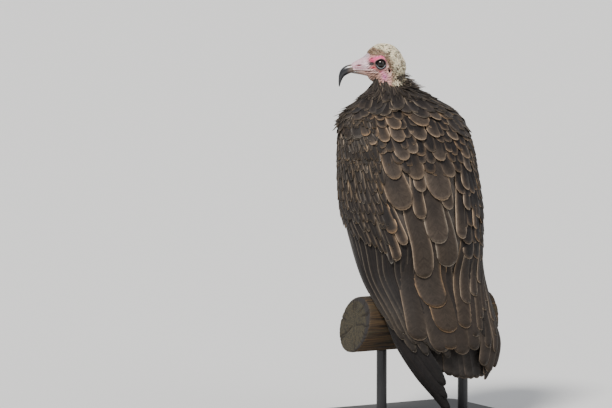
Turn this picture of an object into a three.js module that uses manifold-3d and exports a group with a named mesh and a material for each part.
// Hooded vulture (Necrosyrtes monachus), an adult at life size, perched on a cut length of log that
// a plain display stand holds up. Its back is to +Y, its breast to -Y and its left side to +X, and
// the head looks over the left shoulder. Millimetres, +Z up, origin at the middle of the base's
// underside. Everything but the base is placed from the top of the log, midway between the feet.
import * as THREE from "three";
import { mergeVertices } from "three/addons/utils/BufferGeometryUtils.js";
import Module from "manifold-3d";

const wasm = await Module();
wasm.setup();

// ---------------------------------------------------------------- driving dimensions
const GAP = 0.3; // clearance between pieces that meet
const CUT = GAP / 2;
const FINE = 0.14; // how far a shape may move when needless corners are dropped
const PERCH_TOP = 235; // the log's top above the floor
const BASE = { width: 320, depth: 320, thick: 18, corner: 24, edge: 2 };
const ROD = { radius: 9, x: 84, sides: 24 }; // one rod at either end of the log
const LOG = { radius: 48, right: -128, leftTop: 128, leftBottom: 152, sides: 30 };

// The outline of the folded wings and back in level slices, from the wing tips up to the mantle:
// height, middle of the slice in Y, half width of the left and of the right, half depth in Y.
const OUTLINE = [
  [-206, 128, 34, 24, 15],
  [-190, 122, 41, 36, 17],
  [-134, 102, 82, 82, 40],
  [-84, 84, 109, 110, 50],
  [-25, 60, 123, 103, 56],
  [35, 4, 124, 118, 78],
  [85, -18, 126, 122, 104],
  [150, -38, 133, 132, 110],
  [192, -47, 133, 132, 107],
  [234, -55, 130, 130, 100],
  [267, -62, 127, 127, 92],
  [284, -68, 123, 123, 84],
  [300, -74, 118, 118, 75],
  [317, -81, 102, 102, 58],
];

// The trunk under the wings: height, breast or belly in Y, back in Y, half width in X.
const TRUNK = [
  [-42, 66, 92, 14],
  [-15, 48, 88, 38],
  [10, 36, 84, 52],
  [35, 18, 77, 68],
  [60, -18, 80, 84],
  [85, -66, 77, 99],
  [115, -112, 71, 111],
  [150, -142, 62, 119],
  [192, -155, 50, 123],
  [234, -155, 39, 122],
  [267, -150, 24, 119],
  [290, -144, 4, 113],
  [308, -137, -17, 104],
  [322, -130, -36, 90],
  [334, -123, -52, 72],
  [344, -116, -64, 50],
  [350, -108, -74, 26],
];

// Angles round the outline are measured from the middle of the back towards the side.
const WING = {
  frontAngle: 120, // the leading edge, beside the breast
  topAngle: 38, // where the inner edge starts, on the shoulder
  innerAngle: 1.5, // the inner edge further down, beside the spine
  top: 316,
  wrist: 300,
  shoulderThick: 15,
  edgeThick: 4.5,
  tuck: 7, // how far the top and leading edges turn in towards the body
  secondaries: [
    [5, -82],
    [40, -80],
    [58, -70],
    [74, -40],
    [90, -2],
    [104, 22],
    [120, 38],
  ],
};
const DROOP_BELOW = 35; // the wing tips hang from this height
const RIGHT_DROOP = 0.79; // the right wing tip is tucked up behind the tail
const PRIMARIES = { depth: 7.4, thick: 3, ridge: 1, notch: 0.07 };
// Each primary: angle and height of its root, then of its tip.
const PRIMARY_FEATHERS = [
  [96, 70, 76, -132],
  [92, 66, 70, -166],
  [88, 62, 60, -192],
  [82, 58, 50, -205],
  [76, 54, 40, -192],
  [69, 50, 34, -170],
  [62, 46, 30, -146],
];

const TAIL = {
  baseZ: 62,
  tipZ: -139,
  drop: 14.5, // below the wings' outline
  camber: 17, // fall from the middle to the edge
  halfWidth: 68,
  spread: 12,
  skew: 5.6, // degrees, towards the right
  feathers: 10,
  baseWidth: 20, // half of it
  thick: 3.4,
  ridge: 1.2,
  notch: 0.045,
  sideShort: 22, // how much shorter the outer feathers are
};

const HEAD = { x: 20, y: -112, z: 398, turn: -28 }; // between the eyes
// The head from nape to cere, along its own axis: place, crown, underside, half width.
const SKULL = [
  [-43.5, -2, -9, 3],
  [-41.5, 5, -20, 11],
  [-38, 11.5, -27, 16],
  [-32, 21, -32, 21],
  [-24, 28.6, -34, 24.4],
  [-13, 33.4, -35, 24.6],
  [-3, 33.9, -35, 23.4],
  [6, 32, -34, 21.2],
  [13, 28, -32, 18.6],
  [19, 23, -28, 15.8],
  [25, 16.6, -19.5, 13.4],
  [30.5, 11.3, -14, 11],
  [37.5, 6.9, -13, 9.2],
  [46, 2, -14.5, 7.8],
  [51, -1.2, -15.6, 7.2],
];
// The upper bill's middle line with its half height and half width, to the hook's point.
const UPPER_BILL = [
  [42, -5.6, 8.2, 7.8],
  [50, -8, 7.6, 6.9],
  [58, -11, 7.8, 5.8],
  [64.6, -15.4, 7, 4.8],
  [68.8, -21.6, 4.9, 3.7],
  [71, -29, 3.1, 2.5],
  [72.2, -36, 1.8, 1.5],
  [72.8, -41, 0.7, 0.7],
];
const LOWER_BILL = [
  [16, -20.4, 4.6, 7.6],
  [24, -17.6, 4.4, 7.6],
  [32, -16.4, 3.8, 7.2],
  [40, -16, 2.8, 6.2],
  [47, -15.9, 1.8, 4.8],
  [52, -15.7, 0.8, 2.8],
];
const BILL_JOINT = { x: 48.5, z: -10, lean: 38 }; // where cere meets horn
const EYE = { radius: 8.6, x: 0, side: 17.4, z: 0 };

// The neck's middle line from the shoulders into the head, with its half width and half depth.
const NECK = [
  [1, -90, 322, 64, 44],
  [3, -93, 340, 54, 38],
  [6, -98, 355, 41, 33],
  [10, -103, 368, 30, 28],
  [13, -107, 382, 23, 23],
];
const NECK_CUT = 343;
const HEAD_CUT = 365;

const THIGH = [
  [60, -52, 142, 32, 40],
  [60, -44, 112, 35, 38],
  [56, -30, 88, 31, 32],
  [51, -10, 66, 22, 24],
  [47, 12, 42, 10, 12],
];
const TARSUS = [
  [47, 16, 62, 8.6, 9.4],
  [46.4, 15, 50, 8, 8.8],
  [45.4, 8, 32, 6, 6.8],
  [44.4, 2, 16, 6.4, 7.2],
  [44, -1, 6, 8.4, 9],
];
const THIGH_CUT = 46;
const FOOT_CUT = 17;
const FOOT_X = 44;
// Each toe: name, splay in degrees (out is positive), length, radius, 1 forward or -1 back.
const TOES = [
  ["inner", -24, 42, 5.2, 1],
  ["middle", 2, 60, 5.4, 1],
  ["outer", 27, 46, 4.8, 1],
  ["hind", 8, 26, 5, -1],
];
const CLAW = { length: 21, radius: 4.1, reach: 0.5 };

// ---------------------------------------------------------------- helpers
const rad = THREE.MathUtils.degToRad;
const lerp = THREE.MathUtils.lerp;
const ease = (t) => t * t * (3 - 2 * t);
const point = (x, y, z) => new THREE.Vector3(x, y, z);

// Smooth values between rows of [place, value, value, ...] whose places rise.
function between(rows) {
  const size = rows[0].length - 1;
  const curve = new THREE.CubicInterpolant(
    rows.map((row) => row[0]),
    rows.flatMap((row) => row.slice(1)),
    size,
  );
  return (at) => Array.from(curve.evaluate(at));
}

// A closed mesh from corner points and faces; it is turned face by face if it came inside out.
function closedMesh(corners, faces) {
  const geometry = new THREE.BufferGeometry().setFromPoints(corners);
  let volume = 0;
  for (let i = 0; i < faces.length; i += 3) {
    const [a, b, c] = [corners[faces[i]], corners[faces[i + 1]], corners[faces[i + 2]]];
    volume += a.dot(b.clone().cross(c));
  }
  geometry.setIndex(volume < 0 ? faces.reverse() : faces);
  return geometry;
}

// A closed skin over rings of points, with a fan over each end.
function throughRings(rings) {
  const n = rings[0].length;
  const corners = rings.flat();
  const faces = [];
  for (let i = 0; i + 1 < rings.length; i++)
    for (let j = 0; j < n; j++) {
      const [a, b] = [i * n + j, i * n + ((j + 1) % n)];
      faces.push(a, b, b + n, a, b + n, a + n);
    }
  for (const [first, flip] of [[0, true], [(rings.length - 1) * n, false]]) {
    const middle = corners.length;
    const ring = corners.slice(first, first + n);
    corners.push(ring.reduce((sum, p) => sum.add(p), point(0, 0, 0)).divideScalar(n));
    for (let j = 0; j < n; j++) {
      const [a, b] = [first + j, first + ((j + 1) % n)];
      faces.push(...(flip ? [middle, b, a] : [middle, a, b]));
    }
  }
  return closedMesh(corners, faces);
}

// A closed sheet of some thickness between two surfaces over s and t from 0 to 1.
function betweenSurfaces(outer, inner, nS, nT) {
  const corners = [];
  const faces = [];
  for (const surface of [outer, inner])
    for (let i = 0; i <= nS; i++)
      for (let j = 0; j <= nT; j++) corners.push(surface(i / nS, j / nT));
  const row = nT + 1;
  const under = (nS + 1) * row;
  const quad = (a, b, c, d) => faces.push(a, b, c, a, c, d);
  for (let i = 0; i < nS; i++)
    for (let j = 0; j < nT; j++) {
      const a = i * row + j;
      quad(a, a + 1, a + row + 1, a + row);
      quad(under + a, under + a + row, under + a + row + 1, under + a + 1);
    }
  for (let i = 0; i < nS; i++) {
    const [a, b] = [i * row, i * row + nT];
    quad(a, a + row, under + a + row, under + a);
    quad(b, under + b, under + b + row, b + row);
  }
  for (let j = 0; j < nT; j++) {
    const [a, b] = [j, nS * row + j];
    quad(a, under + a, under + a + 1, a + 1);
    quad(b, b + 1, under + b + 1, under + b);
  }
  return closedMesh(corners, faces);
}

// A tube of changing oval section along a smooth line: rows of x, y, z, half width, half height.
// The width lies across the line and level with the ground.
function limb(rows, sides, steps, grow = 0) {
  const line = new THREE.CatmullRomCurve3(rows.map(([x, y, z]) => point(x, y, z)));
  const sizes = between(rows.map((row, i) => [i / (rows.length - 1), row[3], row[4]]));
  const rings = [];
  for (let i = 0; i <= steps; i++) {
    const t = i / steps;
    const along = line.getTangent(t);
    const level = Math.abs(along.z) > 0.5 ? point(1, 0, 0) : point(0, 1, 0);
    const up = along.clone().cross(level).normalize();
    const across = up.clone().cross(along).normalize();
    const [width, height] = sizes(t).map((size) => size + grow);
    rings.push(
      Array.from({ length: sides }, (_, k) => {
        const angle = (2 * Math.PI * k) / sides;
        return line
          .getPoint(t)
          .addScaledVector(across, width * Math.cos(angle))
          .addScaledVector(up, height * Math.sin(angle));
      }),
    );
  }
  return throughRings(rings);
}

const solidOf = (geometry) => {
  const bare = geometry.clone().deleteAttribute("normal").deleteAttribute("uv");
  const merged = mergeVertices(bare, 1e-4);
  return new wasm.Manifold(
    new wasm.Mesh({
      numProp: 3,
      vertProperties: new Float32Array(merged.attributes.position.array),
      triVerts: new Uint32Array(merged.index.array),
    }),
  );
};
const joined = (...solids) => solids.reduce((sum, solid) => sum.add(solid));

// The geometry of a solid, which keeps only its largest body.
function geometryOf(solid) {
  const whole = solid.decompose().sort((a, b) => b.volume() - a.volume())[0];
  const mesh = whole.simplify(FINE).getMesh();
  const geometry = new THREE.BufferGeometry();
  geometry.setAttribute("position", new THREE.BufferAttribute(mesh.vertProperties, 3));
  geometry.setIndex(new THREE.BufferAttribute(mesh.triVerts, 1));
  geometry.computeVertexNormals();
  return geometry;
}

// ---------------------------------------------------------------- materials
const finish = (color, roughness) =>
  new THREE.MeshStandardMaterial({ color, roughness, metalness: 0 });
const FINISHES = {
  plumage: finish(0x463b32, 0.8),
  flight: finish(0x2b2725, 0.6),
  down: finish(0xcdbfa4, 0.9),
  horn: finish(0x26221f, 0.35),
  eye: finish(0x17100c, 0.1),
  scaly: finish(0x8d95a0, 0.7),
  wood: finish(0x6b5545, 0.85),
  base: finish(0x2f2b28, 0.5),
};

const bird = new THREE.Group();
bird.position.z = PERCH_TOP;
function addPiece(name, shape, material) {
  const geometry = shape.isBufferGeometry ? shape : geometryOf(shape);
  const mesh = new THREE.Mesh(geometry, FINISHES[material]);
  mesh.name = name;
  bird.add(mesh);
}

// ---------------------------------------------------------------- trunk, neck and head
const RING = 24;
const trunkAt = between(TRUNK);
function trunkSolid(grow) {
  const heights = TRUNK.map((row) => row[0]);
  const rings = heights.map((z) => {
    const [breast, back, halfWidth] = trunkAt(z);
    return Array.from({ length: RING }, (_, k) => {
      const angle = (2 * Math.PI * k) / RING;
      const halfDepth = (back - breast) / 2 + grow;
      const y = (back + breast) / 2 + halfDepth * Math.cos(angle);
      return point((halfWidth + grow) * Math.sin(angle), y, z);
    });
  });
  return solidOf(throughRings(rings));
}

const headPlace = new THREE.Matrix4()
  .makeTranslation(HEAD.x, HEAD.y, HEAD.z)
  .multiply(new THREE.Matrix4().makeRotationZ(rad(HEAD.turn)));
const placeHead = (geometry) => solidOf(geometry.applyMatrix4(headPlace));

function skullSolid() {
  const at = between(SKULL);
  const steps = 18;
  const [start, end] = [SKULL[0][0], SKULL[SKULL.length - 1][0]];
  const rings = [];
  for (let i = 0; i <= steps; i++) {
    const x = lerp(start, end, Math.pow(i / steps, 1.25));
    const [crown, under, halfWidth] = at(x);
    rings.push(
      Array.from({ length: 18 }, (_, k) => {
        const angle = (2 * Math.PI * k) / 18;
        const across = halfWidth * Math.cos(angle);
        return point(x, across, (crown + under) / 2 + ((crown - under) / 2) * Math.sin(angle));
      }),
    );
  }
  return placeHead(throughRings(rings));
}

// Bill rows are place, height, half height and half width in the head's own upright plane.
function billSolid(rows, sides, steps, grow = 0) {
  const line = new THREE.CatmullRomCurve3(rows.map(([x, z]) => point(x, 0, z)));
  const sizes = between(rows.map((row, i) => [i / (rows.length - 1), row[2], row[3]]));
  const rings = [];
  for (let i = 0; i <= steps; i++) {
    const t = i / steps;
    const along = line.getTangent(t);
    const up = point(-along.z, 0, along.x);
    const [halfHeight, halfWidth] = sizes(t).map((size) => size + grow);
    rings.push(
      Array.from({ length: sides }, (_, k) => {
        const angle = (2 * Math.PI * k) / sides;
        const middle = line.getPoint(t);
        middle.y = halfWidth * Math.cos(angle);
        return middle.addScaledVector(up, halfHeight * Math.sin(angle));
      }),
    );
  }
  return placeHead(throughRings(rings));
}

const eyeAt = (side, grow) => {
  const ball = new THREE.SphereGeometry(EYE.radius + grow, 12, 8);
  ball.rotateX(Math.PI / 2).translate(EYE.x, side * EYE.side, EYE.z);
  return placeHead(ball);
};

const trunk = trunkSolid(0);
const neckForm = solidOf(limb(NECK, 20, 8));
const lowerBill = billSolid(LOWER_BILL, 10, 6);
const upperForm = billSolid(UPPER_BILL, 12, 12);
let front = joined(trunk, neckForm, skullSolid(), upperForm);
front = front.subtract(billSolid(LOWER_BILL, 10, 6, GAP));
for (const side of [1, -1]) front = front.subtract(eyeAt(side, GAP));

const trunkPart = front.trimByPlane([0, 0, -1], -(NECK_CUT - CUT));
const aboveShoulders = front.trimByPlane([0, 0, 1], NECK_CUT + CUT);
const neckPart = aboveShoulders.trimByPlane([0, 0, -1], -(HEAD_CUT - CUT));
const headWhole = aboveShoulders.trimByPlane([0, 0, 1], HEAD_CUT + CUT);
const lean = rad(BILL_JOINT.lean);
const billNormal = point(Math.cos(lean), 0, -Math.sin(lean)).transformDirection(headPlace);
const billJoint = point(BILL_JOINT.x, 0, BILL_JOINT.z).applyMatrix4(headPlace).dot(billNormal);
const hornWhole = upperForm.trimByPlane(billNormal.toArray(), billJoint + CUT);
const headPart = headWhole.trimByPlane(billNormal.clone().negate().toArray(), -billJoint + CUT);

addPiece("trunk", trunkPart, "plumage");
addPiece("neck", neckPart, "plumage");
addPiece("head", headPart, "down");
addPiece("bill_upper", hornWhole.subtract(billSolid(LOWER_BILL, 10, 6, GAP)), "horn");
addPiece("bill_lower", lowerBill, "horn");
addPiece("eye_left", eyeAt(1, 0), "eye");
addPiece("eye_right", eyeAt(-1, 0), "eye");

// ---------------------------------------------------------------- wings and tail
const outlineAt = between(OUTLINE);
// A point at some depth under the outline; side is 1 on the left and -1 on the right.
function onOutline(side, height, degrees, depth) {
  const hangs = side < 0 && height < DROOP_BELOW;
  const z = hangs ? lerp(DROOP_BELOW, height, RIGHT_DROOP) : height;
  const [middle, left, right, halfDepth] = outlineAt(z);
  const halfWidth = side > 0 ? left : right;
  const angle = rad(degrees);
  return point(
    side * Math.max(halfWidth - depth, 0.5) * Math.sin(angle),
    middle + Math.max(halfDepth - depth, 0.5) * Math.cos(angle),
    z,
  );
}

const secondariesAt = between(WING.secondaries);
function wingSolid(side) {
  const surface = (under) => (s, t) => {
    const inner = lerp(WING.innerAngle, WING.topAngle, ease(Math.max(0, 1 - s / 0.45)));
    const degrees = lerp(inner, WING.frontAngle, t);
    const top = lerp(WING.top, WING.wrist, ease(t));
    const z = lerp(top, secondariesAt(degrees)[0], s);
    const thick = lerp(WING.shoulderThick, WING.edgeThick, ease(Math.min(1, s / 0.75)));
    const taper = Math.min(1, 0.25 + s / 0.15, t / 0.08, 0.5 + (1 - t) / 0.2);
    const nearTop = Math.max(0, 1 - s / 0.1) ** 2;
    const nearFront = (1 - s) * Math.max(0, 1 - (1 - t) / 0.14) ** 2;
    const depth = WING.tuck * Math.max(nearTop, nearFront);
    return onOutline(side, z, degrees, under ? depth + lerp(2.2, thick, taper) : depth);
  };
  return solidOf(betweenSurfaces(surface(false), surface(true), 11, 10));
}

// How far a fan of feathers reaches at a place across it, from 0 to 1, as a share of its length:
// each feather has a blunt round tip, and the notches between two tips are shallow.
function scallop(place, count, notch) {
  const across = 2 * ((place * count) % 1) - 1;
  return 1 - notch * Math.abs(across) ** 2.5;
}

const primariesAt = between(PRIMARY_FEATHERS.map((row, k) => [k, ...row]));
function primariesSolid(side) {
  const count = PRIMARY_FEATHERS.length;
  const surface = (under) => (s, t) => {
    const [rootAngle, rootZ, tipAngle, tipZ] = primariesAt(t * (count - 1));
    const z = lerp(rootZ, lerp(rootZ, tipZ, scallop(t, count, PRIMARIES.notch)), s);
    const degrees = lerp(rootAngle, tipAngle, Math.pow((rootZ - z) / (rootZ - tipZ), 1.35));
    const ridge = PRIMARIES.ridge * Math.abs(2 * ((t * count) % 1) - 1);
    return onOutline(side, z, degrees, PRIMARIES.depth + (under ? PRIMARIES.thick : ridge));
  };
  return solidOf(betweenSurfaces(surface(false), surface(true), 5, 3 * count));
}

const backAt = (z) => {
  const [middle, , , halfDepth] = outlineAt(z);
  return middle + halfDepth;
};
function tailSolid(grow) {
  const length = TAIL.baseZ - TAIL.tipZ;
  const surface = (under) => (s, t) => {
    const place = 2 * t - 1;
    const turn = rad(place * TAIL.spread - TAIL.skew);
    const reach = (length - TAIL.sideShort * place ** 2) * scallop(t, TAIL.feathers, TAIL.notch);
    const along = lerp(-grow, reach + grow, s);
    const x = (TAIL.baseWidth + grow) * place + along * Math.sin(turn);
    const z = TAIL.baseZ - along * Math.cos(turn);
    const ridge = TAIL.ridge * Math.abs(2 * ((t * TAIL.feathers) % 1) - 1);
    const y = backAt(z) - TAIL.drop - TAIL.camber * (x / TAIL.halfWidth) ** 2;
    return point(x, under ? y - TAIL.thick - grow : y - ridge + grow, z);
  };
  return solidOf(betweenSurfaces(surface(false), surface(true), 5, 3 * TAIL.feathers));
}

const trunkCutter = trunkSolid(GAP);
addPiece("tail", tailSolid(0).subtract(trunkCutter), "plumage");
const tailCutter = tailSolid(GAP);
for (const [name, side] of [["left", 1], ["right", -1]]) {
  const wing = wingSolid(side).subtract(trunkCutter).subtract(tailCutter);
  addPiece("wing_" + name, wing, "plumage");
  addPiece("primaries_" + name, primariesSolid(side), "flight");
}

// ---------------------------------------------------------------- legs and feet
// A point on a toe's middle line, which bends round the log.
function alongToe(side, [, splay, , radius, way], along) {
  const turn = rad(splay) * side;
  const ring = LOG.radius + GAP + radius;
  const round = (along * Math.cos(turn)) / ring;
  return point(
    side * FOOT_X + along * Math.sin(turn),
    -way * ring * Math.sin(round),
    ring * Math.cos(round) - LOG.radius,
  );
}

function toeSolid(side, toe) {
  const [, , length, radius] = toe;
  const joints = 6;
  const rows = Array.from({ length: joints + 1 }, (_, k) => {
    const t = k / joints;
    const { x, y, z } = alongToe(side, toe, length * t);
    const pad = radius * (1 - 0.16 * t) * (k % 2 ? 0.9 : 1);
    return [x, y, z, pad, pad];
  });
  return solidOf(limb(rows, 7, 6));
}

function clawSolid(side, toe) {
  const [, , length, radius] = toe;
  const steps = 5;
  const rows = Array.from({ length: steps + 1 }, (_, k) => {
    const t = k / steps;
    const { x, y, z } = alongToe(side, toe, length + 0.4 + CLAW.length * t);
    const middle = point(0, 0, -LOG.radius);
    const out = point(0, y, z).sub(middle).normalize();
    const size = lerp(CLAW.radius, 0.7, Math.pow(t, 0.85));
    const lift = 3.2 * Math.sin(Math.PI * Math.min(1, t * 1.05)) - (radius - size) + CLAW.reach;
    return [x, y + out.y * lift, z + out.z * lift, size, size];
  });
  return solidOf(limb(rows, 6, 4));
}

const mirrored = (rows, side) => rows.map(([x, ...rest]) => [side * x, ...rest]);
const logCutter = solidOf(
  new THREE.CylinderGeometry(LOG.radius + GAP, LOG.radius + GAP, 400, 2 * LOG.sides)
    .rotateZ(Math.PI / 2)
    .translate(0, 0, -LOG.radius),
);
for (const [name, side] of [["left", 1], ["right", -1]]) {
  const thigh = solidOf(limb(mirrored(THIGH, side), 14, 7)).subtract(trunkCutter);
  const shank = solidOf(limb(mirrored(TARSUS, side), 10, 6)).subtract(trunkCutter);
  const foot = joined(shank, ...TOES.map((toe) => toeSolid(side, toe))).subtract(logCutter);
  addPiece("thigh_" + name, thigh.trimByPlane([0, 0, 1], THIGH_CUT + CUT), "plumage");
  const lower = foot.trimByPlane([0, 0, -1], -(THIGH_CUT - CUT));
  addPiece("tarsus_" + name, lower.trimByPlane([0, 0, 1], FOOT_CUT + CUT), "scaly");
  addPiece("foot_" + name, lower.trimByPlane([0, 0, -1], -(FOOT_CUT - CUT)), "scaly");
  for (const toe of TOES) {
    const claw = clawSolid(side, toe).subtract(toeSolid(side, toe)).subtract(logCutter);
    addPiece("claw_" + name + "_" + toe[0], claw, "horn");
  }
}

// ---------------------------------------------------------------- perch and stand
function logSolid() {
  const rings = [0, 0.34, 0.67, 1].map((along) =>
    Array.from({ length: LOG.sides }, (_, k) => {
      const angle = (2 * Math.PI * k) / LOG.sides;
      const z = LOG.radius * (Math.cos(angle) - 1);
      const leftEnd = lerp(LOG.leftTop, LOG.leftBottom, -z / (2 * LOG.radius));
      return point(lerp(LOG.right, leftEnd, along), LOG.radius * Math.sin(angle), z);
    }),
  );
  return throughRings(rings);
}
addPiece("perch_log", logSolid(), "wood");

const rodTop = -2 * LOG.radius - GAP;
const rodFoot = BASE.thick + GAP - PERCH_TOP;
for (const [name, side] of [["left", 1], ["right", -1]]) {
  const rod = new THREE.CylinderGeometry(ROD.radius, ROD.radius, rodTop - rodFoot, ROD.sides);
  rod.rotateX(Math.PI / 2).translate(side * ROD.x, 0, (rodTop + rodFoot) / 2);
  addPiece("stand_rod_" + name, rod, "base");
}

function baseGeometry() {
  const { width, depth, thick, corner, edge } = BASE;
  const [x, y] = [width / 2 - edge, depth / 2 - edge];
  const shape = new THREE.Shape();
  shape.absarc(x - corner, y - corner, corner, 0, Math.PI / 2);
  shape.absarc(corner - x, y - corner, corner, Math.PI / 2, Math.PI);
  shape.absarc(corner - x, corner - y, corner, Math.PI, 1.5 * Math.PI);
  shape.absarc(x - corner, corner - y, corner, 1.5 * Math.PI, 2 * Math.PI);
  return new THREE.ExtrudeGeometry(shape, {
    depth: thick - 2 * edge,
    bevelThickness: edge,
    bevelSize: edge,
    bevelSegments: 1,
    curveSegments: 3,
  }).translate(0, 0, edge - PERCH_TOP);
}
addPiece("stand_base", baseGeometry(), "base");

const model = new THREE.Group();
model.add(bird);
export default model;
